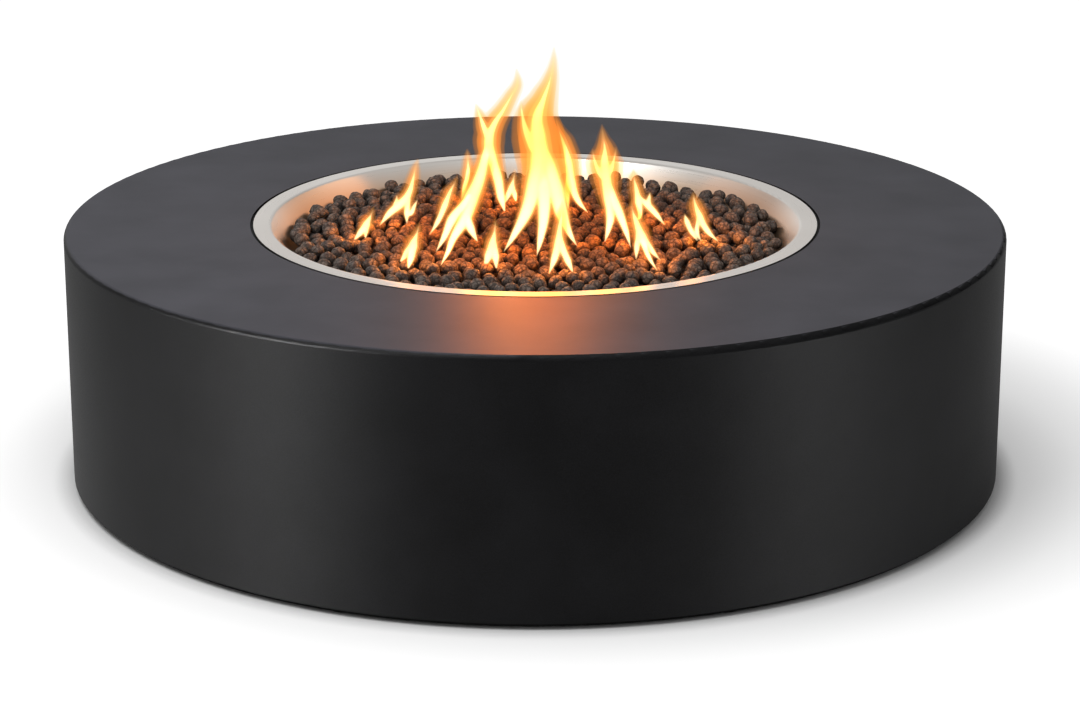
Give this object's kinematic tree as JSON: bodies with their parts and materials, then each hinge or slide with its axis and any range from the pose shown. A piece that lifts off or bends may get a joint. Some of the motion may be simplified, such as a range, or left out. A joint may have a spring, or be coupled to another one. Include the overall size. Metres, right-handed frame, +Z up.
{
  "type": "round gas fire pit",
  "caption": "Low round black drum fire pit: flat deck, stainless drop-in burner pan filled with lava stones, gas valve and igniter on the rear, and a hinged rear access door.",
  "frame": {"origin": "on the floor, on the drum's vertical axis", "axes": "+Z up; the plain side faces -Y, and the door, controls and gas inlet are on the rear, towards +Y"},
  "size_m": [1.22, 1.22, 0.33],
  "materials": {
    "black_coat": "satin black powder coat",
    "inner_black": "matt black primer",
    "stainless": "brushed stainless steel",
    "burner_steel": "heat-tinted stainless steel",
    "zinc": "zinc-plated steel",
    "brass": "machined brass",
    "lava": "porous tumbled lava",
    "rubber": "moulded rubber",
    "glass_fibre": "woven glass-fibre tape",
    "knob_black": "matt phenolic",
    "chrome": "chrome plate",
    "ceramic": "unglazed alumina",
    "battery": "plain shrink sleeve",
    "copper": "drawn copper",
    "lead_sleeve": "silicone sleeve"
  },
  "bodies": {
    "pit": {"drum_wall": "black_coat", "foot_ring": "inner_black", "deck_plate": "black_coat", "plinth_ring": "inner_black", "ground_pads": "rubber", "plinth_bolts": "zinc", "deck_ribs": "inner_black", "pan_ledge_ring": "inner_black", "pan_gasket": "glass_fibre", "burner_pan": "stainless", "lava_stones": "lava", "burner_outer_ring": "burner_steel", "burner_inner_ring": "burner_steel", "burner_hub": "burner_steel", "burner_spokes": "burner_steel", "burner_feet": "burner_steel", "gas_pipe": "zinc", "pipe_locknuts": "zinc", "air_mixer": "brass", "mixer_elbow": "brass", "burner_hose": "stainless", "hose_nuts": "brass", "control_plate": "stainless", "control_screws": "stainless", "valve_body": "brass", "valve_bonnet": "brass", "safety_magnet": "brass", "knob_bezel": "chrome", "neck_nut": "brass", "inlet_elbow": "brass", "inlet_locknut": "brass", "riser_pipe": "copper", "riser_nuts": "brass", "igniter_housing": "knob_black", "igniter_nut": "knob_black", "igniter_battery": "battery", "igniter_spring": "zinc", "spark_ceramic": "ceramic", "spark_rod": "burner_steel", "thermocouple": "copper", "sensor_nuts": "brass", "ignition_lead": "lead_sleeve", "thermocouple_lead": "copper", "door_frame": "inner_black", "hinge_wall_leaves": "black_coat", "hinge_pins": "zinc"},
    "door": {"access_door": "black_coat", "hinge_door_leaves": "black_coat", "latch_bush": "chrome"},
    "latch": {"latch_knob": "chrome", "latch_cam": "zinc", "latch_screw": "zinc"},
    "push_rod": {"valve_push_rod": "stainless"},
    "knob": {"valve_knob": "knob_black", "valve_stem": "brass"},
    "plug": {"valve_plug": "brass"},
    "button": {"igniter_button": "knob_black"}
  },
  "joints": [
    {"name": "door_swing", "type": "hinge", "parent": "pit", "child": "door", "pos_m": [0.14984, 0.59698, 0.165], "axis": [0, 0, -1], "range_deg": [0, 110]},
    {"name": "latch_turn", "type": "hinge", "parent": "door", "child": "latch", "pos_m": [-0.12, 0.59808, 0.165], "axis": [-0.1967, 0.9805, 0], "range_deg": [0, 90]},
    {"name": "knob_press", "type": "slide", "parent": "pit", "child": "push_rod", "axis": [0.7498, -0.6617, 0], "range_m": [0, 0.004], "stiffness_N_per_m": 1200, "springref_m": -0.004},
    {"name": "knob_turn", "type": "hinge", "parent": "push_rod", "child": "knob", "pos_m": [-0.45737, 0.40363, 0.19], "axis": [-0.7498, 0.6617, 0], "range_deg": [0, 180]},
    {"name": "plug_turn", "type": "hinge", "parent": "pit", "child": "plug", "pos_m": [-0.45737, 0.40363, 0.19], "axis": [-0.7498, 0.6617, 0], "range_deg": [0, 180]},
    {"name": "igniter_press", "type": "slide", "parent": "pit", "child": "button", "axis": [0.6617, -0.7498, 0], "range_m": [0, 0.003], "stiffness_N_per_m": 800, "springref_m": -0.003, "deforming": ["igniter_spring"]}
  ],
  "couplings": [
    {"joint": "plug_turn", "follows": "knob_turn", "ratio": 1}
  ]
}
